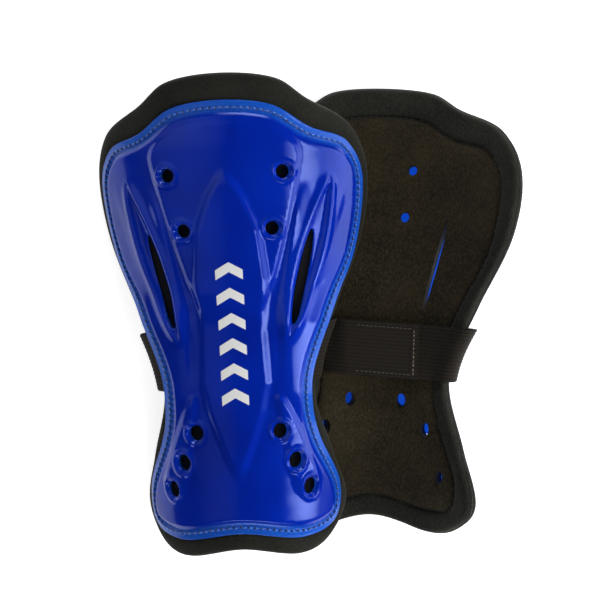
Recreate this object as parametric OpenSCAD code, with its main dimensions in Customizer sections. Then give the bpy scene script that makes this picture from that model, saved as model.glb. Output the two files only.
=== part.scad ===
// Pair of strap-on shin guards lying one over the other on a flat surface.
// Both guards are the same symmetrical part: a moulded plastic shell stitched to a
// laminated foam pad, closed behind the calf by two elastic straps with hook and loop.
// The front guard lies shell up. The rear guard lies shell down under its right side.
//
// A guard is drawn in its own frame: s runs across the flat pad, y along the shin with
// the knee end at +y, and d outward from the face of the pad. on_guard() bends that flat
// sheet round the shin.

/* [Pad] */
// Length of the pad along the shin
pad_length = 240; // [236:1:244]
// Bend radius across the shin at the knee end
knee_radius = 102; // [99:1:105]
// Bend radius across the shin at the ankle end
ankle_radius = 58; // [57:0.5:59]
// How far both ends flare away from the shin
end_flare = 11; // [9:0.5:12]
// Thickness of the foam core
foam_thickness = 6; // [5:0.25:6.5]
// Thickness of the fabric on the face of the foam
face_thickness = 0.8; // [0.6:0.1:1]
// Thickness of the brushed lining
lining_thickness = 1; // [0.8:0.1:1.2]

/* [Shell] */
// Wall thickness of the moulded shell
shell_thickness = 1.6; // [1.2:0.1:2]
// How far the shell's body stands up inside its flange
shell_rise = 1.2; // [0.8:0.1:1.4]
// Distance of the stitching from the edge of the shell
stitch_inset = 3.5; // [3:0.5:4.5]

/* [Vents] */
// Diameter of the round vents in the shell
shell_vent_d = 7; // [6:0.5:8]
// Diameter of the round vents in the pad
pad_vent_d = 5.4; // [4.5:0.1:6]
// Width of the long slots in the shell
shell_slot_w = 6; // [5:0.5:7]
// Width of the long slits in the pad
pad_slot_w = 3; // [2.5:0.1:3.5]
// Length of the long slots
slot_length = 50; // [44:1:54]

/* [Straps] */
// Width of the elastic straps
strap_width = 30; // [28:1:31]
// Thickness of the elastic straps
strap_thickness = 1.4; // [1.2:0.1:1.6]
// Thickness of the hook patch and of the loop patch
patch_thickness = 1; // [0.8:0.1:1]
// Length of the peelable tab at the end of the long strap
tab_length = 36; // [34:1:38]

/* [Arrangement] */
// Yaw of the front guard, in degrees
front_yaw = 3; // [2:0.5:4]
// Yaw of the rear guard, in degrees
rear_yaw = -1.5; // [-2:0.5:-1]

/* [Hidden] */

$fn = 48;

// Colours
shell_blue = [0.05, 0.16, 0.72];
thread_blue = [0.10, 0.32, 0.85];
fabric_grey = [0.14, 0.15, 0.14];
foam_grey = [0.20, 0.20, 0.20];
lining_brown = [0.16, 0.14, 0.11];
strap_black = [0.07, 0.07, 0.07];
patch_black = [0.12, 0.12, 0.12];
thread_grey = [0.40, 0.40, 0.38];
mark_white = [0.92, 0.93, 0.95];

// Half outlines of the flat sheets, from the ankle end's middle up to the knee end's.
// They are drawn for a pad 240 long and scaled along the shin.
PAD_HALF = [
    [0, -122], [36, -128], [58, -121.5], [70, -106], [56, -78], [43.5, -40], [59, -1],
    [80, 38], [84, 70], [71, 94], [45, 107], [28, 117], [0, 120]
];
SHELL_HALF = [
    [0, -113], [34, -118.5], [56, -114], [59, -96], [44, -66], [39.5, -37], [51.5, -5],
    [71, 30], [77, 66], [66, 86], [44, 93.5], [25, 104.5], [0, 107.5]
];
along = pad_length / 240;

// Where the four sides of an outline meet, counted in outline points from the middle
// of the ankle end.
ankle_corner = 2.5;
knee_corner = 8.5;

// Vents on the +s half as [s, y, length over width], then the middle and the lean of the
// slots. No vent in the pad lies under a vent in the shell.
SHELL_VENTS = [[28.5, 72, 1], [22, 44, 1], [21.5, -61, 1.15], [29, -77, 1.25], [36.5, -92, 1.25]];
PAD_VENTS = [[18.5, 74, 1], [14.5, 48, 1], [16, -53.5, 1.4], [32, -69, 1.5], [44, -95, 1.5]];
SHELL_SLOT = [36.5, 18];
PAD_SLOT = [34, 22];
slot_lean = 15;

// Layers, as distances d from the face of the pad
foam_top = -face_thickness;
foam_bottom = foam_top - foam_thickness;
lining_bottom = foam_bottom - lining_thickness;
shell_gap = 0.3;
shell_top = shell_gap + shell_thickness;

// Stitching thread, as a flat cord just clear of the surface that it lies on. The lining
// curves more tightly, so its thread needs the larger gap.
thread_w = 0.8;
thread_h = 0.3;
thread_gap = 0.05;
lining_thread_gap = 0.36;

// Straps: their middle along the shin, how far they drop towards -x, and the heights
// of the layers where the two straps overlap behind the calf
strap_y = -24;
strap_slope = 0.05;
long_z = -20;
layer_gap = 0.05;
hook_z = long_z + strap_thickness / 2 + layer_gap;
loop_z = hook_z + patch_thickness + layer_gap;
short_z = loop_z + patch_thickness + layer_gap + strap_thickness / 2;
tab_x = 14;
tab_end_x = tab_x - tab_length;
short_end_x = 18;
patch_margin = 1.5;

// Arrangement of the pair: pitch and roll of each guard in degrees, and where the middle
// of its shin line lies. Each guard rests on the surface with both of its ends.
front_tilt = [4.24, -11];
rear_tilt = [-0.12, -11];
front_place = [-41, 2.7, 46.88];
rear_place = [43, 6.2, 12.6];

// ---- Bending the flat sheet ----

function bend_radius(y) = ankle_radius + (knee_radius - ankle_radius) * (y / pad_length + 0.5);
function apex(y) = end_flare * pow(2 * y / pad_length, 2);
function bend_angle(s, y) = s / bend_radius(y) * 180 / PI;
function on_guard(s, y, d) =
    let (r = bend_radius(y), a = bend_angle(s, y))
    [(r + d) * sin(a), y, apex(y) - r + (r + d) * cos(a)];

// ---- Outlines ----

function whole_outline(half) = concat(
    [for (p = half) [p[0], p[1] * along]],
    [for (i = [len(half) - 2 : -1 : 1]) [-half[i][0], half[i][1] * along]]
);

// Point of the smooth closed curve through an outline's points
function curve(outline, t) =
    let (n = len(outline), i = floor(t), f = t - i,
         a = outline[(i + 2 * n - 1) % n], b = outline[(i + 2 * n) % n],
         c = outline[(i + 2 * n + 1) % n], e = outline[(i + 2 * n + 2) % n])
    0.5 * (2 * b + (c - a) * f + (2 * a - 5 * b + 4 * c - e) * pow(f, 2)
        + (3 * b - a - 3 * c + e) * pow(f, 3));

// Point inside an outline, with u across and v along, both from 0 to 1
function inside(outline, u, v) =
    let (n = len(outline), side = knee_corner - ankle_corner, width = n - 2 * knee_corner,
         low = curve(outline, (2 * u - 1) * ankle_corner),
         high = curve(outline, n - knee_corner - width * u),
         left = curve(outline, n - ankle_corner - side * v),
         right = curve(outline, ankle_corner + side * v),
         low_left = curve(outline, n - ankle_corner), low_right = curve(outline, ankle_corner),
         high_left = curve(outline, n - knee_corner), high_right = curve(outline, knee_corner))
    (1 - v) * low + v * high + (1 - u) * left + u * right
        - (1 - u) * (1 - v) * low_left - u * (1 - v) * low_right
        - (1 - u) * v * high_left - u * v * high_right;

// ---- Closed solids ----

// Solid between two grids of points that share their rows and columns. The upper grid
// is on the left of a walk along +i turned to +j.
module slab(lower, upper) {
    rows = len(lower);
    cols = len(lower[0]);
    count = rows * cols;
    points = concat([for (row = lower) each row], [for (row = upper) each row]);
    function at(j, i) = j * cols + i;
    top = [for (j = [0 : rows - 2], i = [0 : cols - 2]) each [
        [count + at(j, i), count + at(j + 1, i), count + at(j + 1, i + 1)],
        [count + at(j, i), count + at(j + 1, i + 1), count + at(j, i + 1)]
    ]];
    bottom = [for (j = [0 : rows - 2], i = [0 : cols - 2]) each [
        [at(j, i), at(j + 1, i + 1), at(j + 1, i)],
        [at(j, i), at(j, i + 1), at(j + 1, i + 1)]
    ]];
    rim = concat(
        [for (i = [0 : cols - 2]) [at(0, i), at(0, i + 1)]],
        [for (j = [0 : rows - 2]) [at(j, cols - 1), at(j + 1, cols - 1)]],
        [for (i = [cols - 1 : -1 : 1]) [at(rows - 1, i), at(rows - 1, i - 1)]],
        [for (j = [rows - 1 : -1 : 1]) [at(j, 0), at(j - 1, 0)]]
    );
    wall = [for (edge = rim) each [
        [edge[0], edge[0] + count, edge[1] + count],
        [edge[0], edge[1] + count, edge[1]]
    ]];
    polyhedron(points, concat(top, bottom, wall));
}

// Sheet of the guard between two distances from the face of the pad. It stands up by rise
// inside its rim, and lift() raises it where it passes over the sewn end of a strap.
module sheet(half, low_d, high_d, columns, rows, rise = 0, lift = function(p) 0) {
    outline = whole_outline(half);
    function at_rim(i, j) = i == 0 || i == columns || j == 0 || j == rows;
    function skin(d) = [for (j = [0 : rows]) [for (i = [0 : columns])
        let (p = inside(outline, i / columns, j / rows))
        on_guard(p[0], p[1], d + lift(p) + (at_rim(i, j) ? 0 : rise))]];
    slab(skin(low_d), skin(high_d));
}

// Closed thread along an inset outline, lying on the surface at distance d
module thread_loop(half, inset, d, width, height, lift = function(p) 0, rings = 96) {
    outline = whole_outline(half);
    n = len(outline);
    path = [for (k = [0 : rings - 1])
        let (t = n * k / rings, way = curve(outline, t + 0.01) - curve(outline, t - 0.01),
             along_way = way / norm(way))
        curve(outline, t) + inset * [-along_way[1], along_way[0]]
    ];
    points = [for (k = [0 : rings - 1])
        let (p = path[k], way = path[(k + 1) % rings] - path[(k + rings - 1) % rings],
             across = [-way[1], way[0]] / norm(way) * width / 2)
        each [for (m = [[-1, 0], [1, 0], [1, 1], [-1, 1]])
            let (q = p + m[0] * across)
            on_guard(q[0], q[1], d + lift(p) + m[1] * height)]
    ];
    faces = [for (k = [0 : rings - 1], m = [0 : 3])
        let (a = 4 * k + m, b = 4 * k + (m + 1) % 4, next = 4 * ((k + 1) % rings) - 4 * k)
        each [[a, a + next, b + next], [a, b + next, b]]
    ];
    polyhedron(points, faces);
}

// ---- Vents ----

module across_face(s, y) {
    translate(on_guard(s, y * along, 0))
        rotate([0, bend_angle(s, y * along), 0])
            children();
}

module vents(places, diameter) {
    for (side = [-1, 1], p = places)
        across_face(side * p[0], p[1])
            scale([1, p[2], 1])
                cylinder(h = 30, d = diameter, center = true);
}

module slots(middle, width) {
    half = [for (k = [0 : 8]) [width / 2 * pow(sin(180 * k / 8), 0.8), slot_length * (k / 8 - 0.5)]];
    leaf = concat(half, [for (k = [7 : -1 : 1]) [-half[k][0], half[k][1]]]);
    for (side = [-1, 1])
        across_face(side * middle[0], middle[1])
            rotate(-side * slot_lean)
                linear_extrude(30, center = true)
                    polygon(leaf);
}

// ---- Layers of a guard ----

// Lift of the shell's flange over the sewn ends of the straps
function ramp(value, start, full) = max(0, min(1, (value - start) / (full - start)));
flange_rise = strap_thickness + 0.8;
function flange_lift(p) =
    flange_rise * ramp(abs(p[0]), 14, 23) * ramp(-abs(p[1] - strap_y), -38, -28);

module shell() {
    difference() {
        sheet(SHELL_HALF, shell_gap, shell_top, 16, 22, shell_rise, function(p) flange_lift(p));
        vents(SHELL_VENTS, shell_vent_d);
        slots(SHELL_SLOT, shell_slot_w);
    }
}

module pad_layer(low_d, high_d) {
    difference() {
        sheet(PAD_HALF, low_d, high_d, 16, 20);
        vents(PAD_VENTS, pad_vent_d);
        slots(PAD_SLOT, pad_slot_w);
    }
}

module face_fabric() {
    pad_layer(foam_top, 0);
}

module foam_pad() {
    pad_layer(foam_bottom, foam_top);
}

module lining() {
    pad_layer(lining_bottom, foam_bottom);
}

// How far the shell has risen at the stitching, on the slope up from its rim
flange_run = 10;
flange_slope = shell_rise * stitch_inset / flange_run;

module seam_thread() {
    thread_loop(SHELL_HALF, stitch_inset, shell_top + flange_slope + thread_gap, thread_w,
        thread_h, function(p) flange_lift(p));
    thread_loop(SHELL_HALF, stitch_inset, lining_bottom - thread_h - lining_thread_gap,
        thread_w, thread_h);
}

// Plain chevrons printed up the middle of the shell
chevrons = 6;
chevron_pitch = 13;
chevron_start = -42;
chevron_half_w = 6.5;
chevron_arm = 5;
chevron_rise = 4;
module printed_mark() {
    for (k = [0 : chevrons - 1], side = [-1, 1]) {
        y = chevron_start + k * chevron_pitch;
        rows = [for (j = [0 : 1]) [for (i = [0 : 2])
            [side * i * chevron_half_w / 2, y - i * chevron_rise / 2 + j * chevron_arm]]];
        ordered = side > 0 ? rows : [for (row = rows) [row[2], row[1], row[0]]];
        slab(
            [for (row = ordered) [for (p = row) on_guard(p[0], p[1], shell_top + shell_rise + 0.06)]],
            [for (row = ordered) [for (p = row) on_guard(p[0], p[1], shell_top + shell_rise + 0.16)]]
        );
    }
}

// ---- Straps ----

// Half width of the flat pad near the straps
function waist_half(y) = let (w = y - strap_y) 47.5 + 0.39 * w + 0.008 * pow(w, 2);

// Where a strap is sewn on and turned round the edge of the pad, as pairs of distance
// past the edge and distance from the face, from the sewn end to the inside
EDGE_TURN = [
    [-16, 1.4], [-9, 1.4], [-3, 1.4], [1.6, 0.9], [3.8, -1.6], [4.4, -4.6], [3.6, -7.6],
    [1, -9.8], [-3, -10.4], [-8, -10.6]
];

// Middle line of a strap at distance w from its own middle: round the edge of the pad,
// then through the given [x, z] points. side is 1 for the long strap, -1 for the short.
function strap_line(w, side, inner) = concat(
    [for (p = EDGE_TURN)
        let (s = waist_half(strap_y + w) + p[0], q = on_guard(s, strap_y + w, p[1]))
        [side * q[0], q[2]]],
    inner
);

// Strap of the given thickness along a middle line, over the width of the strap
module band(side, inner) {
    widths = [for (k = [-2 : 2]) k * strap_width / 4];
    rows = [for (w = widths) strap_line(w, side, inner)];
    function offset_point(line, k, amount) =
        let (a = line[max(k - 1, 0)], b = line[min(k + 1, len(line) - 1)],
             way = (b - a) / norm(b - a))
        line[k] + amount * [way[1], -way[0]];
    function lay(sign) = [for (j = [0 : len(widths) - 1])
        [for (k = [0 : len(rows[j]) - 1])
            let (q = offset_point(rows[j], k, sign * strap_thickness / 2))
            [q[0], strap_y + widths[j] + strap_slope * q[0], q[1]]]];
    slab(lay(side), lay(-side));
}

module long_strap() {
    band(1, [[26, long_z + 2], [20, long_z + 0.5], [tab_x + 3, long_z], [tab_x, long_z]]);
}

module short_strap() {
    band(-1, [for (x = [-24, -12, 0, 9, short_end_x]) [x, short_z]]);
}

// Flat block in the overlap, sloping with the strap
module overlap_block(x_low, x_high, width, z_low, z_high) {
    function edge(x, side) = strap_y + strap_slope * x + side * width / 2;
    slab(
        [for (side = [-1, 1]) [for (x = [x_low, x_high]) [x, edge(x, side), z_low]]],
        [for (side = [-1, 1]) [for (x = [x_low, x_high]) [x, edge(x, side), z_high]]]
    );
}

module strap_tab() {
    overlap_block(tab_end_x, tab_x, strap_width,
        long_z - strap_thickness / 2, long_z + strap_thickness / 2);
}

patch_width = strap_width - 4;
module hook_patch() {
    overlap_block(tab_end_x + patch_margin, tab_x - patch_margin, patch_width,
        hook_z, hook_z + patch_thickness);
}

module loop_patch() {
    overlap_block(tab_end_x + patch_margin, tab_x + patch_margin, patch_width,
        loop_z, loop_z + patch_thickness);
}

// Rows of thread that sew the hook patch along both sides of the tab, and its hem
module tab_stitching() {
    thread = 0.5;
    low = long_z - strap_thickness / 2 - layer_gap - thread;
    for (side = [-1, 1])
        translate([0, side * (patch_width / 2 - 0.5), 0])
            overlap_block(tab_end_x + 4, tab_x - 2, thread, low, low + thread);
    overlap_block(tab_end_x + 2.5, tab_end_x + 2.5 + thread, patch_width, low, low + thread);
}

// ---- The two guards in place ----

module front() {
    translate(front_place)
        rotate(front_yaw)
            rotate([front_tilt[0], 0, 0])
                rotate([0, front_tilt[1], 0])
                    children();
}

module rear() {
    translate(rear_place)
        rotate(rear_yaw)
            rotate([rear_tilt[0], 0, 0])
                rotate([0, rear_tilt[1] + 180, 0])
                    children();
}

module front_shell() { color(shell_blue) front() shell(); }
module front_face_fabric() { color(fabric_grey) front() face_fabric(); }
module front_foam_pad() { color(foam_grey) front() foam_pad(); }
module front_lining() { color(lining_brown) front() lining(); }
module front_seam_thread() { color(thread_blue) front() seam_thread(); }
module front_printed_mark() { color(mark_white) front() printed_mark(); }
module front_short_strap() { color(strap_black) front() short_strap(); }
module front_loop_patch() { color(patch_black) front() loop_patch(); }
module front_long_strap() { color(strap_black) front() long_strap(); }
module front_strap_tab() { color(strap_black) front() strap_tab(); }
module front_hook_patch() { color(patch_black) front() hook_patch(); }
module front_tab_stitching() { color(thread_grey) front() tab_stitching(); }

module rear_shell() { color(shell_blue) rear() shell(); }
module rear_face_fabric() { color(fabric_grey) rear() face_fabric(); }
module rear_foam_pad() { color(foam_grey) rear() foam_pad(); }
module rear_lining() { color(lining_brown) rear() lining(); }
module rear_seam_thread() { color(thread_blue) rear() seam_thread(); }
module rear_printed_mark() { color(mark_white) rear() printed_mark(); }
module rear_short_strap() { color(strap_black) rear() short_strap(); }
module rear_loop_patch() { color(patch_black) rear() loop_patch(); }
module rear_long_strap() { color(strap_black) rear() long_strap(); }
module rear_strap_tab() { color(strap_black) rear() strap_tab(); }
module rear_hook_patch() { color(patch_black) rear() hook_patch(); }
module rear_tab_stitching() { color(thread_grey) rear() tab_stitching(); }

front_shell();
front_face_fabric();
front_foam_pad();
front_lining();
front_seam_thread();
front_printed_mark();
front_short_strap();
front_loop_patch();
front_long_strap();
front_strap_tab();
front_hook_patch();
front_tab_stitching();
rear_shell();
rear_face_fabric();
rear_foam_pad();
rear_lining();
rear_seam_thread();
rear_printed_mark();
rear_short_strap();
rear_loop_patch();
rear_long_strap();
rear_strap_tab();
rear_hook_patch();
rear_tab_stitching();
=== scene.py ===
import math

import bpy
import numpy as np
from mathutils import Euler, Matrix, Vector
from mathutils.geometry import delaunay_2d_cdt


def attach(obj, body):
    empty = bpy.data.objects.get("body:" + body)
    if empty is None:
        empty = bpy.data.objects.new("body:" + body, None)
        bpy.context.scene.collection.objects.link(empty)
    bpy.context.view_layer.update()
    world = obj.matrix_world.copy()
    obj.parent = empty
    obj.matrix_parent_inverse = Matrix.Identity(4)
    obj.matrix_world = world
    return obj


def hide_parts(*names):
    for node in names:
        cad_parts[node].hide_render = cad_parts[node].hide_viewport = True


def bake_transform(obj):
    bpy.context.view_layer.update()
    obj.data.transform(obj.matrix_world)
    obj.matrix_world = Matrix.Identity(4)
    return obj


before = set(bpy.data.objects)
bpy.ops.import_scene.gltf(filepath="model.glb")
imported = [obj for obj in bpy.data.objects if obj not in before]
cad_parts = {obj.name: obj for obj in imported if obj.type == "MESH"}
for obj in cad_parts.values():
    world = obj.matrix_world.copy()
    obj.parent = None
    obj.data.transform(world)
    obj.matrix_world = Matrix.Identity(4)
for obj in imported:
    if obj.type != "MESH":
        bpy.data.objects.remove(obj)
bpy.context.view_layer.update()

MM = 0.001
GUARDS = ("front", "rear")

# ---- The guard's own frame, as part.scad draws it, in millimetres ----
PAD_HALF = [
    (0, -122), (36, -128), (58, -121.5), (70, -106), (56, -78), (43.5, -40), (59, -1),
    (80, 38), (84, 70), (71, 94), (45, 107), (28, 117), (0, 120),
]
SHELL_HALF = [
    (0, -113), (34, -118.5), (56, -114), (59, -96), (44, -66), (39.5, -37), (51.5, -5),
    (71, 30), (77, 66), (66, 86), (44, 93.5), (25, 104.5), (0, 107.5),
]
SHELL_VENTS = [(28.5, 72, 1), (22, 44, 1), (21.5, -61, 1.15), (29, -77, 1.25), (36.5, -92, 1.25)]
PAD_VENTS = [(18.5, 74, 1), (14.5, 48, 1), (16, -53.5, 1.4), (32, -69, 1.5), (44, -95, 1.5)]
SHELL_SLOT, PAD_SLOT = (36.5, 18), (34, 22)
SLOT_LEAN, SLOT_LENGTH = 15, 50
SHELL_VENT_D, PAD_VENT_D = 7, 5.4
SHELL_SLOT_W, PAD_SLOT_W = 6, 3

PAD_LENGTH, KNEE_RADIUS, ANKLE_RADIUS, END_FLARE = 240, 102, 58, 11
FACE_D, LINING_D = 0.0, -7.8
FACE_T, LINING_T, GLUE_T = 0.8, 1.0, 0.02
SHELL_LOW, SHELL_TOP, SHELL_RISE = 0.3, 1.9, 1.2
STITCH_INSET = 3.5

STRAP_Y, STRAP_SLOPE, STRAP_W, STRAP_T = -24, 0.05, 30, 1.4
LONG_Z, GAP_Z, PATCH_T = -20, 0.05, 1.0
HOOK_Z = LONG_Z + STRAP_T / 2 + GAP_Z
LOOP_Z = HOOK_Z + PATCH_T + GAP_Z
SHORT_Z = LOOP_Z + PATCH_T + GAP_Z + STRAP_T / 2
TAB_X, TAB_END_X, SHORT_END_X, PATCH_MARGIN = 14, -22, 18, 1.5
PATCH_W = STRAP_W - 4
EDGE_TURN = [
    (-16, 1.4), (-9, 1.4), (-3, 1.4), (1.6, 0.9), (3.8, -1.6), (4.4, -4.6), (3.6, -7.6),
    (1, -9.8), (-3, -10.4), (-8, -10.6),
]

# Where each guard lies: place, then yaw, pitch and roll in degrees
PLACES = {
    "front": ((-41, 2.7, 46.88), 3, 4.24, -11),
    "rear": ((43, 6.2, 12.6), -1.5, -0.12, 169),
}


def bend_radius(y):
    return ANKLE_RADIUS + (KNEE_RADIUS - ANKLE_RADIUS) * (y / PAD_LENGTH + 0.5)


def on_guard(s, y, d):
    """Points in the guard's frame from places on the flat pad and heights over its face."""
    r = bend_radius(y)
    a = s / r
    flare = END_FLARE * (y / (PAD_LENGTH / 2)) ** 2
    return np.stack([(r + d) * np.sin(a), y + 0 * a, flare - r + (r + d) * np.cos(a)], -1)


def turn(guard):
    place, yaw, pitch, roll = PLACES[guard]
    c, s = math.cos, math.sin
    yaw, pitch, roll = (math.radians(v) for v in (yaw, pitch, roll))
    about_z = np.array([[c(yaw), -s(yaw), 0], [s(yaw), c(yaw), 0], [0, 0, 1]])
    about_x = np.array([[1, 0, 0], [0, c(pitch), -s(pitch)], [0, s(pitch), c(pitch)]])
    about_y = np.array([[c(roll), 0, s(roll)], [0, 1, 0], [-s(roll), 0, c(roll)]])
    return about_z @ about_x @ about_y, np.array(place, float)


def placed(guard, points):
    """Points of the guard's frame in the row frame, in metres."""
    r, place = turn(guard)
    return (np.asarray(points, float) @ r.T + place) * MM


# ---- Small maths ----
def smooth(value, low, high):
    t = np.clip((value - low) / (high - low), 0, 1)
    return t * t * (3 - 2 * t)


def bell(value, width):
    return np.exp(-((value / width) ** 2))


def rounded(e, radius):
    """How far a rounded edge falls away, at distance e inside it."""
    x = np.clip(radius - e, 0, radius)
    return radius - np.sqrt(radius**2 - x**2)


def loop_through(control, step):
    """Even points along the smooth closed curve through the control points."""
    p = np.asarray(control, float)
    t = np.linspace(0, 1, 40, endpoint=False)[:, None]
    parts = []
    for i in range(len(p)):
        a, b, c, e = (p[(i + k) % len(p)] for k in (-1, 0, 1, 2))
        parts.append(0.5 * (2 * b + (c - a) * t + (2 * a - 5 * b + 4 * c - e) * t**2
                            + (3 * b - a - 3 * c + e) * t**3))
    return respaced(np.vstack(parts), step)


def respaced(loop, step):
    closed = np.vstack([loop, loop[:1]])
    run = np.concatenate([[0], np.cumsum(np.linalg.norm(np.diff(closed, axis=0), axis=1))])
    at = np.linspace(0, run[-1], round(run[-1] / step), endpoint=False)
    return np.stack([np.interp(at, run, closed[:, k]) for k in range(closed.shape[1])], 1)


def outline(half, step=1.1):
    half = [(float(s), float(y)) for s, y in half]
    return loop_through(half + [(-s, y) for s, y in half[-2:0:-1]], step)


def offset(loop, amount):
    """A closed loop moved to its left by amount, which is inward on an outline."""
    way = np.roll(loop, -1, 0) - np.roll(loop, 1, 0)
    way /= np.linalg.norm(way, axis=1)[:, None]
    return loop + amount * np.stack([-way[:, 1], way[:, 0]], 1)


def distance(points, loop):
    loop, points = loop[::2].astype(np.float32), points.astype(np.float32)
    a, ab = loop, np.roll(loop, -1, 0) - loop
    length = (ab**2).sum(1)
    best = np.empty(len(points))
    for k in range(0, len(points), 3000):
        p = points[k : k + 3000, None] - a
        t = np.clip((p * ab).sum(2) / length, 0, 1)[..., None]
        best[k : k + 3000] = np.sqrt(((p - t * ab) ** 2).sum(2).min(1))
    return best


def within(points, loop):
    a, b = loop, np.roll(loop, -1, 0)
    rise = np.where(a[:, 1] == b[:, 1], 1e-9, b[:, 1] - a[:, 1])
    found = np.empty(len(points), bool)
    for k in range(0, len(points), 3000):
        x, y = points[k : k + 3000, :1], points[k : k + 3000, 1:]
        cut = ((a[:, 1] > y) != (b[:, 1] > y)) & (x < (b[:, 0] - a[:, 0]) * (y - a[:, 1]) / rise + a[:, 0])
        found[k : k + 3000] = cut.sum(1) % 2 == 1
    return found


def signed(points, loop):
    """Distance inside a loop, negative outside it."""
    return np.where(within(points, loop), 1, -1) * distance(points, loop)


def leg(points, start, end):
    """How far along a straight leg each point is, 0 to 1, and how far off it."""
    a, d = np.array(start, float), np.array(end, float) - np.array(start, float)
    t = np.clip(((points - a) @ d) / (d @ d), 0, 1)
    side = ((points - a) @ np.array([d[1], -d[0]])) / np.linalg.norm(d)
    return t, side


# ---- Outlines and holes on the flat pad ----
def oval(s, y, stretch, diameter, count=40):
    t = np.linspace(0, 2 * math.pi, count, endpoint=False)
    return np.stack([s + diameter / 2 * np.cos(t), y + diameter / 2 * stretch * np.sin(t)], 1)


def leaf(middle, width, side, count=44):
    t = np.linspace(0, math.pi, count)
    half = np.stack([width / 2 * np.sin(t) ** 0.8, -SLOT_LENGTH / 2 * np.cos(t)], 1)
    points = np.vstack([half, (half * [-1, 1])[-2:0:-1]])
    lean = math.radians(SLOT_LEAN * side)
    c, s = math.cos(lean), math.sin(lean)
    return points @ np.array([[c, -s], [s, c]]) + [side * middle[0], middle[1]]


def holes(vents, vent_d, slot, slot_w):
    return ([oval(side * s, y, stretch, vent_d) for s, y, stretch in vents for side in (1, -1)]
            + [leaf(slot, slot_w, side) for side in (1, -1)])


SHELL_LOOP, PAD_LOOP = outline(SHELL_HALF), outline(PAD_HALF)
SHELL_HOLES = holes(SHELL_VENTS, SHELL_VENT_D, SHELL_SLOT, SHELL_SLOT_W)
PAD_HOLES = holes(PAD_VENTS, PAD_VENT_D, PAD_SLOT, PAD_SLOT_W)
STITCH_LOOP = offset(SHELL_LOOP, STITCH_INSET)


# ---- Meshes ----
def triangulate(edges, points):
    """Triangles between closed loops, over those loops' points and the loose points."""
    sizes = [len(e) for e in edges]
    start = np.concatenate([[0], np.cumsum(sizes)])
    flat = np.vstack(edges + [points])
    lines = [(int(a + k), int(a + (k + 1) % n)) for a, n in zip(start, sizes) for k in range(n)]
    out = delaunay_2d_cdt([Vector(p) for p in flat], lines, [], 0, 1e-6)
    back = np.array([ids[0] if ids else -1 for ids in out[3]])
    tris = back[np.array(out[2])]
    tris = tris[(tris >= 0).all(1)]
    middle = flat[tris].mean(1)
    keep = within(middle, edges[0])
    for hole in edges[1:]:
        keep &= ~within(middle, hole)
    tris = tris[keep]
    a, b, c = (flat[tris[:, k]] for k in range(3))
    turned = (b - a)[:, 0] * (c - a)[:, 1] - (b - a)[:, 1] * (c - a)[:, 0]
    tris[turned < 0] = tris[turned < 0][:, ::-1]
    return flat, tris[np.abs(turned) > 1e-9]


def fill(edges, insets, spreads, step):
    """Loose points: rings inside the outline and round the holes, and a grid between them."""
    rings = [offset(edges[0], a) for a in insets] + [offset(h, -a) for h in edges[1:] for a in spreads]
    low, high = edges[0].min(0), edges[0].max(0)
    xs = np.arange(0, high[0] + step, step)
    xs = np.concatenate([-xs[:0:-1], xs])
    ys = np.arange(low[1], high[1], step)
    grid = np.stack(np.meshgrid(xs, ys), -1).reshape(-1, 2)
    keep = signed(grid, edges[0]) > (insets[-1] if insets else 0) + 0.6 * step
    for hole in edges[1:]:
        near = np.linalg.norm(grid - hole.mean(0), axis=1) < 40
        inside = np.zeros(len(grid), bool)
        inside[near] = signed(grid[near], hole) > -(spreads[-1] if spreads else 0) - 0.6 * step
        keep &= ~inside
    loose = np.vstack(rings + [grid[keep]]) if rings else grid[keep]
    ok = signed(loose, edges[0]) > 0.05
    for hole in edges[1:]:
        ok &= signed(loose, hole) < -0.05
    return loose[ok]


def make_mesh(name, vertices, faces, smooth_angle=40):
    mesh = bpy.data.meshes.new(name)
    if isinstance(faces, list):
        sizes = np.array([len(f) for f in faces])
        flat = np.concatenate([np.asarray(f) for f in faces])
    else:
        sizes, flat = np.full(len(faces), faces.shape[1]), faces.ravel()
    mesh.vertices.add(len(vertices))
    mesh.vertices.foreach_set("co", np.asarray(vertices, np.float32).ravel())
    mesh.loops.add(len(flat))
    mesh.loops.foreach_set("vertex_index", flat.astype(np.int32))
    mesh.polygons.add(len(sizes))
    mesh.polygons.foreach_set("loop_start", np.concatenate([[0], np.cumsum(sizes)[:-1]]).astype(np.int32))
    mesh.update(calc_edges=True)
    mesh.validate()
    mesh.shade_smooth()
    mesh.set_sharp_from_angle(angle=math.radians(smooth_angle))
    return mesh


def add_object(name, mesh, materials, body, nodes):
    obj = bpy.data.objects.new(name, mesh)
    bpy.context.scene.collection.objects.link(obj)
    for m in materials if isinstance(materials, (list, tuple)) else [materials]:
        mesh.materials.append(m)
    if body:
        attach(obj, body)
    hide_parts(*nodes)
    return obj


def attribute(mesh, name, values):
    mesh.attributes.new(name, "FLOAT", "POINT").data.foreach_set("value", np.asarray(values, np.float32))


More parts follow.
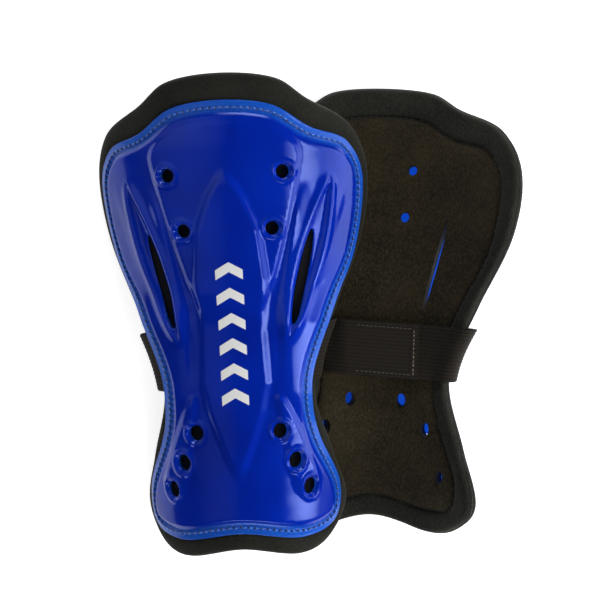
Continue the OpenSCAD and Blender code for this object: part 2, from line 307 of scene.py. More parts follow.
class Layer:
    """A closed layer of the guard: a top and a bottom over one set of loops, and walls between."""

    def __init__(self, edges, loose_top, loose_bottom, top, bottom, wall_rings=3, bulge=0.0):
        flat, tris = triangulate(edges, loose_top)
        under, under_tris = triangulate(edges, loose_bottom)
        high, low = top(flat), bottom(under)
        self.flat_top, self.count_top, self.top = flat, len(flat), top
        places = [flat, under]
        points = [on_guard(flat[:, 0], flat[:, 1], high), on_guard(under[:, 0], under[:, 1], low)]
        faces = [tris, under_tris[:, ::-1] + len(flat)]
        base, total = 0, len(flat) + len(under)
        for number, edge in enumerate(edges):
            n = len(edge)
            ids = [np.arange(base, base + n)]
            for k in range(1, wall_rings):
                t = k / wall_rings
                out = -bulge * math.sin(math.pi * t) if number == 0 else 0
                place = offset(edge, out) if out else edge
                d = high[base : base + n] * (1 - t) + low[base : base + n] * t
                points.append(on_guard(place[:, 0], place[:, 1], d))
                places.append(place)
                ids.append(np.arange(total, total + n))
                total += n
            ids.append(np.arange(base, base + n) + len(flat))
            inner = np.roll(np.arange(n), -1)
            # loops run anticlockwise round the outline and round each hole
            for a, b in zip(ids, ids[1:]):
                quad = [(a, b, b[inner]), (a, b[inner], a[inner])]
                for x, y, z in quad:
                    faces.append(np.stack([x, y, z] if number == 0 else [x, z, y], 1))
            base += n
        self.points = np.vstack(points)
        self.all_flat = np.vstack(places)
        self.faces = np.vstack(faces)

    def normals_top(self):
        """The top's own normals, worked out from its height and not from its triangles."""
        step = 0.08
        f = self.flat_top

        def at(ds, dy):
            q = f + [ds, dy]
            return on_guard(q[:, 0], q[:, 1], self.top(q))

        n = np.cross(at(step, 0) - at(-step, 0), at(0, step) - at(0, -step))
        return n / np.linalg.norm(n, axis=1)[:, None]

    def mesh(self, name, guard, smooth_angle=40):
        return make_mesh(name, placed(guard, self.points), self.faces, smooth_angle)


# ---- Materials ----
def srgb(*rgb):
    v = [c / 255 for c in rgb]
    return tuple(c / 12.92 if c < 0.04045 else ((c + 0.055) / 1.055) ** 2.4 for c in v) + (1.0,)


class Paint:
    """A material's node tree, one call to a node."""

    def __init__(self, name, **values):
        self.material = bpy.data.materials.new(name)
        self.material.use_nodes = True
        self.tree = self.material.node_tree
        self.bsdf = next(n for n in self.tree.nodes if n.type == "BSDF_PRINCIPLED")
        for key, value in values.items():
            self.bsdf.inputs[key.replace("_", " ")].default_value = value
        self.coord = self.node("TexCoord").outputs["Object"]

    def node(self, kind, **values):
        made = self.tree.nodes.new("ShaderNode" + kind)
        for key, value in values.items():
            if hasattr(made, key):
                setattr(made, key, value)
            elif isinstance(value, bpy.types.NodeSocket):
                self.tree.links.new(value, made.inputs[key])
            else:
                made.inputs[key].default_value = value
        return made

    def link(self, source, target):
        self.tree.links.new(source, self.bsdf.inputs[target] if isinstance(target, str) else target)

    def stretched(self, scale):
        return self.node("Mapping", Vector=self.coord, Scale=scale).outputs[0]

    def noise(self, scale, detail=2.0, roughness=0.5, vector=None):
        return self.node("TexNoise", Vector=vector or self.coord, Scale=scale, Detail=detail,
                         Roughness=roughness).outputs["Fac"]

    def ramp(self, source, low, high, out_low=0.0, out_high=1.0):
        made = self.node("MapRange", Value=source)
        for key, value in zip(("From Min", "From Max", "To Min", "To Max"), (low, high, out_low, out_high)):
            made.inputs[key].default_value = value
        return made.outputs[0]

    def mix(self, share, a, b):
        made = self.node("Mix", data_type="RGBA")
        for index, value in ((0, share), (6, a), (7, b)):
            if isinstance(value, bpy.types.NodeSocket):
                self.tree.links.new(value, made.inputs[index])
            else:
                made.inputs[index].default_value = value
        return made.outputs[2]

    def math(self, operation, a, b):
        made = self.node("Math", operation=operation)
        for index, value in enumerate((a, b)):
            if isinstance(value, bpy.types.NodeSocket):
                self.tree.links.new(value, made.inputs[index])
            else:
                made.inputs[index].default_value = value
        return made.outputs[0]

    def bump(self, height, distance, strength=1.0, under=None):
        made = self.node("Bump", Height=height)
        made.inputs["Distance"].default_value = distance
        made.inputs["Strength"].default_value = strength
        if under:
            self.link(under, made.inputs["Normal"])
        return made.outputs[0]

    def attr(self, name):
        return self.node("Attribute", attribute_name=name).outputs["Fac"]


def shell_paint():
    p = Paint("shell_plastic", Roughness=0.2, Specular_IOR_Level=0.8, Coat_Weight=0.45, Coat_Roughness=0.06)
    p.bsdf.inputs["Specular Tint"].default_value = (0.12, 0.28, 1.0, 1)
    body, deep, light = srgb(0, 46, 196), srgb(0, 34, 168), srgb(34, 108, 226)
    cloud = p.ramp(p.noise(28, 3), 0.35, 0.7)
    colour = p.mix(cloud, body, deep)
    flange = p.attr("flange")
    colour = p.mix(p.math("MULTIPLY", flange, p.ramp(p.noise(900, 3), 0.3, 0.7, 0.55, 0.95)), colour, light)
    p.link(colour, "Base Color")
    grain = p.noise(1600, 2)
    p.link(p.ramp(p.noise(160, 4, 0.7), 0.35, 0.75, 0.1, 0.2), "Roughness")
    p.link(p.ramp(p.noise(220, 4, 0.7), 0.45, 0.8, 0.05, 0.13), "Coat Roughness")
    wavy = p.bump(p.noise(42, 2), 0.00035, 0.55)
    fine = p.bump(p.math("MULTIPLY", grain, flange), 0.00025, 0.8, wavy)
    p.link(p.bump(grain, 0.00002, 0.25, fine), "Normal")
    p.link(wavy, "Coat Normal")
    glow = p.node("BsdfTranslucent", Color=srgb(90, 165, 255)).outputs[0]
    both = p.node("MixShader")
    p.tree.links.new(p.math("ADD", p.math("MULTIPLY", p.attr("inner"), 0.65), 0.3), both.inputs[0])
    p.tree.links.new(p.bsdf.outputs[0], both.inputs[1])
    p.tree.links.new(glow, both.inputs[2])
    out = next(n for n in p.tree.nodes if n.type == "OUTPUT_MATERIAL")
    p.tree.links.new(both.outputs[0], out.inputs["Surface"])
    return p.material


def cloth_paint(name, dark, light, margin, scale, depth, fuzz, stretch=(1, 1, 1), patch=0.35):
    """Knitted or brushed cloth: short fibres, a fine knit and slow changes of shade."""
    p = Paint(name, Roughness=0.95, Specular_IOR_Level=0.25, Sheen_Weight=fuzz, Sheen_Roughness=0.5)
    p.bsdf.inputs["Sheen Tint"].default_value = srgb(200, 196, 184)
    at = p.stretched(stretch)
    knit = p.node("TexVoronoi", Vector=at, Scale=scale, Randomness=0.75).outputs["Distance"]
    fibre = p.noise(scale * 0.9, 5, 0.75, at)
    slow = p.noise(38, 3)
    speck = p.ramp(fibre, 0.42, 0.68)
    shade = p.math("ADD", p.math("MULTIPLY", speck, 0.75), p.math("MULTIPLY", p.ramp(slow, 0.3, 0.7), patch))
    inner = p.mix(shade, dark, light)
    outer = p.mix(p.math("MULTIPLY", shade, 0.7), margin[0], margin[1])
    # inner colours cover the cloth inside the seam; on the face knit they are a painted shadow from the
    # shell
    colour = p.mix(p.attr("margin"), inner, outer)
    # painted shade: the cloth turns near-black along the sewn groove
    p.link(p.mix(p.attr("groove"), colour, (0.0012, 0.0012, 0.001, 1)), "Base Color")
    p.link(p.bump(fibre, depth, 0.9, p.bump(knit, depth * 1.4, 0.6)), "Normal")
    return p.material


def foam_paint():
    p = Paint("foam", Roughness=0.92, Specular_IOR_Level=0.3, Sheen_Weight=0.12)
    cells = p.node("TexVoronoi", Vector=p.coord, Scale=1500).outputs["Distance"]
    p.link(p.mix(p.ramp(cells, 0.05, 0.7), srgb(30, 31, 28), srgb(74, 75, 70)), "Base Color")
    p.link(p.bump(cells, 0.00022, 0.8, p.bump(p.noise(90, 3), 0.0005, 0.5)), "Normal")
    return p.material


def strap_paint():
    p = Paint("elastic", Roughness=0.8, Specular_IOR_Level=0.3, Sheen_Weight=0.1, Sheen_Roughness=0.4)
    p.bsdf.inputs["Sheen Tint"].default_value = srgb(190, 186, 178)
    crest = p.attr("crest")
    across_ribs = p.node("TexWave", Vector=p.coord, Scale=330, Distortion=1.2,
                         bands_direction="X").outputs["Fac"]
    # painted light and shade: the elastic is lighter on the rib crests and near-black in the valleys between
    # ribs and along the band's edges
    tint = p.mix(crest, srgb(3, 2, 1), srgb(29, 23, 15))
    tint = p.mix(p.ramp(p.noise(1300, 3), 0.45, 0.75, 0, 0.35), tint, srgb(42, 35, 25))
    p.link(tint, "Base Color")
    p.link(p.bump(across_ribs, 0.00016, 0.6, p.bump(p.noise(1500, 3), 0.0001, 0.8)), "Normal")
    return p.material


def thread_paint(name, dark, light):
    p = Paint(name, Roughness=0.55, Sheen_Weight=0.3)
    twist = p.node("TexWave", Vector=p.coord, Scale=420, Distortion=2.0,
                   bands_direction="DIAGONAL").outputs["Fac"]
    p.link(p.mix(twist, dark, light), "Base Color")
    p.link(p.bump(twist, 0.0001, 0.8), "Normal")
    return p.material


def ink_paint():
    p = Paint("printed_ink", Roughness=0.38, Coat_Weight=0.35, Coat_Roughness=0.15)
    worn = p.ramp(p.noise(700, 5, 0.7), 0.62, 0.75)
    p.link(p.mix(worn, srgb(236, 238, 236), srgb(186, 194, 222)), "Base Color")
    p.link(p.bump(p.noise(2200, 3), 0.00004, 0.6), "Normal")
    return p.material


def patch_paint(name, dark, light, scale):
    p = Paint(name, Roughness=0.9, Sheen_Weight=0.35)
    fuzz = p.noise(scale, 5, 0.8)
    p.link(p.mix(p.ramp(fuzz, 0.35, 0.7), dark, light), "Base Color")
    p.link(p.bump(fuzz, 0.0004, 0.9), "Normal")
    return p.material


SHELL = shell_paint()
PLAIN_KNIT = srgb(16, 17, 14), srgb(55, 56, 49)
FRONT_KNIT = srgb(13, 14, 11), srgb(49, 50, 43)
# painted shadow: the face knit under the shell is painted near-black for the shade the shell casts on it
SHADED_KNIT = srgb(4, 4, 5), srgb(15, 15, 16)
FACE = cloth_paint("face_knit", *SHADED_KNIT, FRONT_KNIT, 1500, 0.00012, 0.1)
LINING = cloth_paint("lining_brushed_knit", srgb(11, 8, 3), srgb(62, 54, 35), PLAIN_KNIT, 1150, 0.0002, 0.12,
                     (1, 0.55, 1))
FOAM = foam_paint()
STRAP = strap_paint()
BLUE_THREAD = thread_paint("blue_thread", srgb(8, 36, 150), srgb(60, 140, 235))
DARK_THREAD = thread_paint("dark_thread", srgb(9, 9, 9), srgb(34, 33, 30))
# painted shade: dark pits between the stitches stand in for the shade in the needle holes
NEEDLE_HOLE_SHADE = thread_paint("needle_hole_shade", srgb(0, 6, 46), srgb(2, 14, 78))
GREY_THREAD = thread_paint("grey_thread", srgb(72, 66, 54), srgb(158, 148, 126))
STRAP_THREAD = thread_paint("strap_thread", srgb(24, 22, 18), srgb(70, 64, 52))
INK = ink_paint()
HOOK = patch_paint("hook_tape", srgb(8, 8, 8), srgb(40, 40, 40), 900)
LOOP = patch_paint("loop_tape", srgb(12, 12, 12), srgb(66, 64, 60), 1300)


# ---- The moulded shell ----
def strap_lift(p):
    """Where the flange passes over the sewn end of a strap."""
    return 2.2 * smooth(np.abs(p[:, 0]), 13, 29) * smooth(-np.abs(p[:, 1] - STRAP_Y), -38, -17)


def vent_distance(points, vents, diameter):
    best = np.full(len(points), 99.0)
    for s, y, stretch in vents:
        for side in (1, -1):
            off = np.hypot(points[:, 0] - side * s, (points[:, 1] - y) / stretch) - diameter / 2
            best = np.minimum(best, off)
    return best


def relief(p):
    """Moulded panels of the shell, in millimetres over its plain body."""
    a, y = np.abs(p[:, 0]), p[:, 1]
    q = np.stack([a, y], 1)
    lance = np.interp(y, [-88, -70, -50, -35, -8, 18, 44, 61, 76], [0, 7, 14, 17, 16, 18, 15.5, 9, 0])
    high = 1.8 * smooth(lance - a, -2.2, 3.2) * smooth(lance, 0, 6)
    tongue = np.interp(y, [2, 18, 44, 53, 70, 81, 100], [15, 21.5, 29.5, 32, 36, 38, 37])
    top = 97.5 - 9 * (a / 35) ** 2
    # the softer of the two distances rounds the corner where the tongue's side meets its top
    inside = -3 * np.logaddexp((a - tongue) / 3, (y - top) / 3)
    high += 1.5 * smooth(inside, -1.8, 2.4) * smooth(y, -6, 14)
    t, side = leg(q, (55, 72), (25.5, -17))
    width = 6.3 * np.sin(math.pi * np.clip(t, 0.02, 0.98)) ** 0.75
    on = smooth(np.minimum(t, 1 - t), 0, 0.12)
    high += on * (1.3 * bell(np.abs(side) - width, 2.3) - 0.9 * smooth(width - np.abs(side), 0.5, 3.5))
    facet = a - np.interp(y, [-12, 57, 66], [24.5, 39, 41])
    along = smooth(y, -14, 8) * smooth(-y, -68, -50)
    high += 1.2 * smooth(facet, -6.5, -3.2) * smooth(-facet, -3.6, 3.2) * along
    t, side = leg(q, (63, 74), (44, 8))
    high += 0.7 * bell(side, 3.6) * smooth(np.minimum(t, 1 - t), 0, 0.35)
    high -= 0.6 * bell(a - 22, 2.2) * smooth(y, -38, -22) * smooth(-y, -8, 0)
    t, side = leg(q, (20.5, -40), (39, -101))
    width = 9.0 * np.sqrt(np.clip(t, 0, 1)) * smooth(1 - t, -0.05, 0.2)
    high += 1.4 * smooth(width - np.abs(side), -1.2, 3.2) * smooth(t, 0, 0.06) * smooth(1 - t, 0, 0.12)
    return high


def shell_top(p):
    e = distance(p, SHELL_LOOP)
    body = smooth(e, 4.9, 8.4)
    ends = 1 - 0.75 * smooth(np.abs(p[:, 1]), 84, 100)
    high = SHELL_TOP - 0.35 + strap_lift(p) + (SHELL_RISE + 0.35) * body
    high += body * ends * relief(p)
    high += 0.3 * bell(e - 3.0, 0.9) - 0.45 * bell(e - STITCH_INSET - 0.7, 0.7)
    vent = vent_distance(p, SHELL_VENTS, SHELL_VENT_D)
    high += 0.5 * bell(vent - 1.7, 0.9) - 0.75 * smooth(-vent, -1.5, -0.1)
    slot = np.minimum(*(distance(p, h) for h in SHELL_HOLES[-2:]))
    high -= rounded(slot, 0.5) + rounded(vent, 0.3) + rounded(e, 0.5)
    return high


def shell_bottom(p):
    e = distance(p, SHELL_LOOP)
    return SHELL_LOW + strap_lift(p) + SHELL_RISE * smooth(e, 4.3, 7.5)


def thread_stitches(line, normal, pitch, length, radius, height):
    """Separate stitches along a closed or open line of even points, as one mesh's points and faces."""
    run = np.concatenate([[0], np.cumsum(np.linalg.norm(np.diff(line, axis=0), axis=1))])
    points, faces = [], []
    u = np.array([-1, -0.86, -0.5, 0, 0.5, 0.86, 1])
    around = np.linspace(0, 2 * math.pi, 8, endpoint=False)
    for k in range(int(run[-1] / pitch)):
        middle = pitch * (k + 0.5)
        at = middle + u * length / 2
        c = np.stack([np.interp(at, run, line[:, i]) for i in range(3)], 1)
        n = np.stack([np.interp(at, run, normal[:, i]) for i in range(3)], 1)
        way = np.gradient(c, axis=0)
        way /= np.linalg.norm(way, axis=1)[:, None]
        cross = np.cross(n, way)
        size = radius * np.sqrt(np.clip(1 - np.abs(u) ** 3.2, 0.05, 1))
        c = c + n * (height * (1 - u**2))[:, None]
        ring = (c[:, None] + (size[:, None] * np.cos(around))[..., None] * cross[:, None]
                + (size[:, None] * np.sin(around) * 0.75)[..., None] * n[:, None])
        base = len(points) * 56
        points.append(ring.reshape(-1, 3))
        for j in range(6):
            for i in range(8):
                a, b = base + j * 8 + i, base + j * 8 + (i + 1) % 8
                faces.append([a, b, b + 8, a + 8])
        faces.append([base + i for i in range(7, -1, -1)])
        faces.append([base + 48 + i for i in range(8)])
    return np.vstack(points), faces


def joined(parts):
    """Several (points, faces) as one, and which part each face is from."""
    points, faces, owner, base = [], [], [], 0
    for number, (p, f) in enumerate(parts):
        points.append(p)
        faces += [[int(i) + base for i in face] for face in f]
        owner += [number] * len(f)
        base += len(p)
    return np.vstack(points), faces, owner


# ---- The laminated pad ----
def seam_gap(p):
    return distance(p, STITCH_LOOP)


def face_top(p):
    e = distance(p, PAD_LOOP)
    outside = -signed(p, SHELL_LOOP)
    crown = 0.8 * smooth(e, 0.5, 5) * smooth(outside, 0.6, 3.2)
    cut = np.minimum(vent_distance(p, PAD_VENTS, PAD_VENT_D), distance(p, PAD_HOLES[-1]))
    cut = np.minimum(cut, distance(p, PAD_HOLES[-2]))
    return FACE_D + crown - rounded(e, 2.4) - rounded(cut, 0.6)


def lining_low(p):
    e = distance(p, PAD_LOOP)
    seam = seam_gap(p)
    cut = np.minimum(vent_distance(p, PAD_VENTS, PAD_VENT_D), distance(p, PAD_HOLES[-1]))
    cut = np.minimum(cut, distance(p, PAD_HOLES[-2]))
    inside = smooth(signed(p, STITCH_LOOP), 0.5, 9)
    return (LINING_D - 0.35 * inside + rounded(e, 3.0) + 1.7 * bell(seam, 1.0) + 0.9 * bell(seam, 3.2)
            + rounded(cut, 0.7))


def shifted(surface, amount):
    return lambda p: surface(p) + amount


PAD_INSETS = (0.35, 0.8, 1.4, 2.1, 3.0, 4.2)
pad_edges = [PAD_LOOP, *PAD_HOLES]
seam_rings = np.vstack([offset(STITCH_LOOP, k) for k in (-2.4, -1.4, -0.7, 0, 0.7, 1.4, 2.4)])
plain = fill(pad_edges, PAD_INSETS, (0.5, 1.2), 2.0)
near_seam = seam_gap(plain) < 3.0
lining_points = np.vstack([plain[~near_seam], seam_rings])
face_points = fill(pad_edges, PAD_INSETS, (0.5, 1.2), 2.0)
coarse = fill(pad_edges, (0.8, 2.0, 3.4), (0.8,), 3.4)

LAYERS = {
    "face": Layer(pad_edges, face_points, coarse, face_top, shifted(face_top, -FACE_T), 2),
    "core": Layer(pad_edges, coarse, coarse, shifted(face_top, -FACE_T - GLUE_T),
                  shifted(lining_low, LINING_T + GLUE_T), 6, 0.7),
    "lining": Layer(pad_edges, coarse, lining_points, shifted(lining_low, LINING_T), lining_low, 2),
}
shell_edges = [SHELL_LOOP, *SHELL_HOLES]
# rings of points follow the flange's slope and the raised rims of the vents
FLANGE_RINGS = (0.25, 0.6, 1.2, 2.0, 2.8, 3.5, 4.2, 4.9, 5.6, 6.4, 7.3, 8.3)
VENT_RINGS = (0.3, 0.7, 1.1, 1.5, 1.9, 2.4, 3.0)
shell_points = fill(shell_edges, FLANGE_RINGS, VENT_RINGS, 1.1)
shell_under = fill(shell_edges, (2.0, 4.5, 6.0, 7.5), (1.5,), 3.2)
SHELL_LAYER = Layer(shell_edges, shell_points, shell_under, shell_top, shell_bottom, 2)
SHELL_NORMALS = SHELL_LAYER.normals_top()


def flat_area(edges):
    def area(loop):
        x, y = loop[:, 0], loop[:, 1]
        return abs((x * np.roll(y, -1) - np.roll(x, -1) * y).sum()) / 2
    return (area(edges[0]) - sum(area(h) for h in edges[1:])) * MM * MM


PAD_AREA = flat_area(pad_edges)


def pad_shades(layer):
    """How far each point is into the plain margin, and how near it is to the sewn groove, where the cloth is
    painted dark as shade.
    """
    flat = layer.all_flat
    return 1 - smooth(signed(flat, STITCH_LOOP), -1.5, 1.5), bell(seam_gap(flat), 0.8)


PAD_SHADES = {key: pad_shades(LAYERS[key]) for key in ("face", "lining")}


def build_pad(guard):
    body = guard + "_guard"
    name = guard + "_pad_core"
    core = add_object(name, LAYERS["core"].mesh(name, guard), FOAM, body, [guard + "_foam_pad"])
    for key, paint, slot, node in (("face", FACE, "face_fabric", "_face_fabric"),
                                   ("lining", LINING, "lining", "_lining")):
        name = f"{guard}_pad_{key}"
        mesh = LAYERS[key].mesh(name, guard)
        # on the face, the margin mask sets where the painted shadow under the shell ends
        margin, groove = PAD_SHADES[key]
        attribute(mesh, "margin", margin)
        attribute(mesh, "groove", groove)
        skin = add_object(name, mesh, paint, body, [guard + node])


def build_shell(guard):
    name = guard + "_shell_moulding"
    mesh = SHELL_LAYER.mesh(name, guard)
    values = np.zeros(len(mesh.vertices))
    e = distance(SHELL_LAYER.flat_top, SHELL_LOOP)
    values[: SHELL_LAYER.count_top] = 1 - smooth(e, 4.2, 7.4)
    attribute(mesh, "flange", values)
    inner = np.ones(len(mesh.vertices))
    inner[: SHELL_LAYER.count_top] = 0
    attribute(mesh, "inner", inner)
    normals = SHELL_NORMALS @ turn(guard)[0].T
    corner = np.zeros(len(mesh.loops), np.int32)
    mesh.loops.foreach_get("vertex_index", corner)
    face_of = np.repeat(np.arange(len(mesh.polygons)), 3)
    custom = np.zeros((len(corner), 3))
    # the walls keep the normals that Blender works out
    upper = np.zeros(len(mesh.polygons), bool)
    upper[(corner.reshape(-1, 3) < SHELL_LAYER.count_top).all(1)] = True
    use = upper[face_of]
    custom[use] = normals[corner[use]]
    mesh.normals_split_custom_set(custom.tolist())
    return add_object(name, mesh, SHELL, guard + "_guard", [guard + "_shell"])


def surface_line(loop, surface, gap):
    closed = np.vstack([loop, loop[:1]])
    d = surface(closed)
    points = on_guard(closed[:, 0], closed[:, 1], d + gap)
    normal = on_guard(closed[:, 0], closed[:, 1], d + gap + 1) - points
    return points, normal


def shifted_along(line, amount):
    """A closed line of even points, started amount further along."""
    step = np.linalg.norm(np.diff(STITCH_LOOP, axis=0), axis=1).mean()
    k = round(amount / step)
    return np.vstack([line[k:-1], line[: k + 1]])


def build_stitching(guard):
    line, normal = surface_line(STITCH_LOOP, shell_top, 0.12)
    above = thread_stitches(line, normal, 3.3, 2.2, 0.5, 0.22)
    # the gaps are dark pits painted as the shade in the needle holes between the stitches
    gaps = thread_stitches(shifted_along(line, 1.65), shifted_along(normal, 1.65), 3.3, 1.2, 0.62, -0.05)
    line, normal = surface_line(STITCH_LOOP, lining_low, -0.1)
    below = thread_stitches(line, -normal, 3.3, 2.9, 0.36, 0.1)
    points, faces, owner = joined([above, below, gaps])
    name = guard + "_stitching"
    mesh = make_mesh(name, placed(guard, points), faces, 80)
    mesh.polygons.foreach_set("material_index", np.array(owner, np.int32))
    add_object(name, mesh, [BLUE_THREAD, DARK_THREAD, NEEDLE_HOLE_SHADE], guard + "_guard",
               [guard + "_seam_thread"])


def build_mark(guard):
    parts = []
    for k in range(6):
        y = -42 + 13 * k
        corners = [(-6.5, y - 4), (0, y), (6.5, y - 4), (6.5, y + 1), (0, y + 5), (-6.5, y + 1)]
        loop = respaced(np.array(corners, float), 0.7)
        inner = fill([loop], (), (), 0.8)
        flat, tris = triangulate([loop], inner)
        edge = np.minimum(distance(flat, loop), 0.3)
        up = on_guard(flat[:, 0], flat[:, 1], shell_top(flat) + 0.05 + 0.1 * edge)
        low = on_guard(flat[:, 0], flat[:, 1], shell_top(flat) + 0.01)
        n, m = len(loop), len(flat)
        a, b = np.arange(n), np.roll(np.arange(n), -1)
        wall = [[i, i + m, j + m, j] for i, j in zip(a, b)]
        parts.append((np.vstack([up, low]), tris.tolist() + (tris[:, ::-1] + m).tolist() + wall))
    points, faces, _ = joined(parts)
    name = guard + "_chevrons"
    mesh = make_mesh(name, placed(guard, points), faces)
    add_object(name, mesh, INK, guard + "_guard", [guard + "_printed_mark"])


# ---- Elastic straps ----
def waist_half(y):
    w = y - STRAP_Y
    return 47.5 + 0.39 * w + 0.008 * w * w


def strap_line(w, side, inner):
    turned = []
    for past, d in EDGE_TURN:
        q = on_guard(np.array(waist_half(STRAP_Y + w) + past), np.array(STRAP_Y + w), d)
        turned.append((side * q[0], q[2]))
    return np.array(turned + list(inner), float)


def through(points, per=9):
    """A smooth open line through the points, with the same steps between each two."""
    p = np.vstack([2 * points[0] - points[1], points, 2 * points[-1] - points[-2]])
    t = np.linspace(0, 1, per, endpoint=False)[:, None]
    out = []
    for i in range(1, len(p) - 2):
        a, b, c, e = p[i - 1 : i + 3]
        square, cube = 2 * a - 5 * b + 4 * c - e, 3 * b - a - 3 * c + e
        out.append(0.5 * (2 * b + (c - a) * t + square * t**2 + cube * t**3))
    return np.vstack(out + [points[-1:]])


RIBS = 15


def band_faces(rows, cols):
    """Faces of a closed band: two grids of points, one over the other, and the wall round them."""
    count = rows * cols
    ids = np.arange(count).reshape(rows, cols)
    a, b, c, d = ids[:-1, :-1], ids[:-1, 1:], ids[1:, 1:], ids[1:, :-1]
    upper = np.stack([a, b, c, d], -1).reshape(-1, 4)
    lower = np.stack([d, c, b, a], -1).reshape(-1, 4) + count
    ring = np.concatenate([ids[0, :-1], ids[:-1, -1], ids[-1, :0:-1], ids[:0:-1, 0]])
    after = np.roll(ring, -1)
    return np.vstack([upper, lower, np.stack([after, ring, ring + count, after + count], 1)])


def webbing(side, inner, hem=None):
    """Ribbed elastic as a closed band: its points, its faces and how near each point is to a rib's crest."""
    ws = np.linspace(-STRAP_W / 2, STRAP_W / 2, RIBS * 6 + 1)
    crest = np.abs(np.sin(math.pi * RIBS * (ws / STRAP_W + 0.5))) ** 0.8
    edge = smooth(STRAP_W / 2 - np.abs(ws), 0, 0.9)
    half = STRAP_T / 2 * (0.30 + 0.70 * edge) * (0.74 + 0.26 * crest)
    upper, lower = [], []
    for w, h in zip(ws, half):
        line = through(strap_line(w, side, inner))
        way = np.gradient(line, axis=0)
        way /= np.linalg.norm(way, axis=1)[:, None]
        normal = np.stack([way[:, 1], -way[:, 0]], 1)
        thick = np.full(len(line), h)
        if hem:
            thick = thick + 0.25 * smooth(-side * line[:, 0], *hem) * (0.5 + 0.5 * edge.mean())
        for sign, out in ((side, upper), (-side, lower)):
            q = line + sign * thick[:, None] * normal
            out.append(np.stack([q[:, 0], STRAP_Y + w + STRAP_SLOPE * q[:, 0], q[:, 1]], 1))
    upper, lower = np.array(upper), np.array(lower)
    rows, cols = upper.shape[:2]
    points = np.vstack([upper.reshape(-1, 3), lower.reshape(-1, 3)])
    # painted shade: this mask is darker between the ribs and along the band's edges
    shade = np.repeat(crest * (0.5 + 0.5 * edge), cols)
    faces = band_faces(rows, cols)
    # the band's faces look outward whichever side it is on
    v = points[faces]
    volume = np.einsum("ij,ij->i", v[:, 0], np.cross(v[:, 1], v[:, 2]) + np.cross(v[:, 2], v[:, 3])).sum()
    if volume < 0:
        faces = faces[:, ::-1]
    return points, faces, np.concatenate([shade, shade])


LONG_INNER = [(26, LONG_Z + 2), (20, LONG_Z + 0.5), (17, LONG_Z), (14, LONG_Z), (8, LONG_Z), (0, LONG_Z),
              (-8, LONG_Z), (-15, LONG_Z), (-18.5, LONG_Z), (TAB_END_X, LONG_Z)]
SHORT_INNER = [(x, SHORT_Z) for x in (-24, -12, 0, 9, SHORT_END_X)]


def build_straps(guard):
    body = guard + "_guard"
    points, faces, crest = webbing(1, LONG_INNER, hem=(17.0, 17.8))
    name = guard + "_strap_long"
    mesh = make_mesh(name, placed(guard, points), faces, 60)
    attribute(mesh, "crest", crest)
    obj = add_object(name, mesh, STRAP, None, [guard + "_long_strap", guard + "_strap_tab"])
    ends = placed(guard, [(TAB_X + 3, STRAP_Y, LONG_Z), (TAB_X - 3, STRAP_Y, LONG_Z)])
    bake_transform(obj)
    points, faces, crest = webbing(-1, SHORT_INNER)
    name = guard + "_strap_short"
    mesh = make_mesh(name, placed(guard, points), faces, 60)
    attribute(mesh, "crest", crest)
    add_object(name, mesh, STRAP, body, [guard + "_short_strap"])


def block(x_low, x_high, width, z_low, z_high, nap, step=0.8):
    """A patch of tape with rounded corners and a napped side, as points and faces."""
    xs = np.linspace(x_low, x_high, int((x_high - x_low) / step))
    ws = np.linspace(-width / 2, width / 2, int(width / step))
    x, w = np.meshgrid(xs, ws)
    edge = np.minimum(np.minimum(x - x_low, x_high - x), np.minimum(w + width / 2, width / 2 - w))
    rng = np.random.default_rng(7)
    rough = rng.random(x.shape) * nap * smooth(edge, 0.2, 1.0)
    y = STRAP_Y + w + STRAP_SLOPE * x
    up = np.stack([x, y, z_high - rounded(edge, 0.25) - rough], -1).reshape(-1, 3)
    low = np.stack([x, y, z_low + rounded(edge, 0.25) + rough], -1).reshape(-1, 3)
    return np.vstack([up, low]), band_faces(*x.shape)


def hooks(x_low, x_high, width, z, up, pitch=1.5):
    """Small bent hooks standing on a patch."""
    parts = []
    t = np.linspace(0, 1, 4)
    around = np.linspace(0, 2 * math.pi, 5, endpoint=False)
    for i, x in enumerate(np.arange(x_low + 1, x_high - 0.6, pitch)):
        for w in np.arange(-width / 2 + 1 + (i % 2) * pitch / 2, width / 2 - 0.6, pitch):
            middle = np.stack([x + 0.3 * t**2, STRAP_Y + w + STRAP_SLOPE * x + 0 * t, z + up * 0.5 * t], 1)
            size = 0.16 * (1 - 0.45 * t)
            circle = np.stack([np.cos(around), np.sin(around), 0 * around], 1)
            ring = middle[:, None] + size[:, None, None] * circle
            faces = [[j * 5 + k, j * 5 + (k + 1) % 5, j * 5 + 5 + (k + 1) % 5, j * 5 + 5 + k]
                     for j in range(3) for k in range(5)]
            faces += [[4, 3, 2, 1, 0], [15, 16, 17, 18, 19]]
            parts.append((ring.reshape(-1, 3), faces))
    return parts


def build_patches(guard):
    low, high = TAB_END_X + PATCH_MARGIN, TAB_X - PATCH_MARGIN
    base = block(low, high, PATCH_W, HOOK_Z, HOOK_Z + 0.5, 0.03)
    points, faces, _ = joined([(base[0], base[1].tolist()), *hooks(low, high, PATCH_W, HOOK_Z + 0.42, 1)])
    name = guard + "_patch_hook"
    mesh = make_mesh(name, placed(guard, points), faces)
    add_object(name, mesh, HOOK, guard + "_tab", [guard + "_hook_patch"])
    points, faces = block(low, TAB_X + PATCH_MARGIN, PATCH_W, LOOP_Z, LOOP_Z + PATCH_T, 0.22, 0.5)
    name = guard + "_patch_loop"
    mesh = make_mesh(name, placed(guard, points), faces, 80)
    add_object(name, mesh, LOOP, guard + "_guard", [guard + "_loop_patch"])


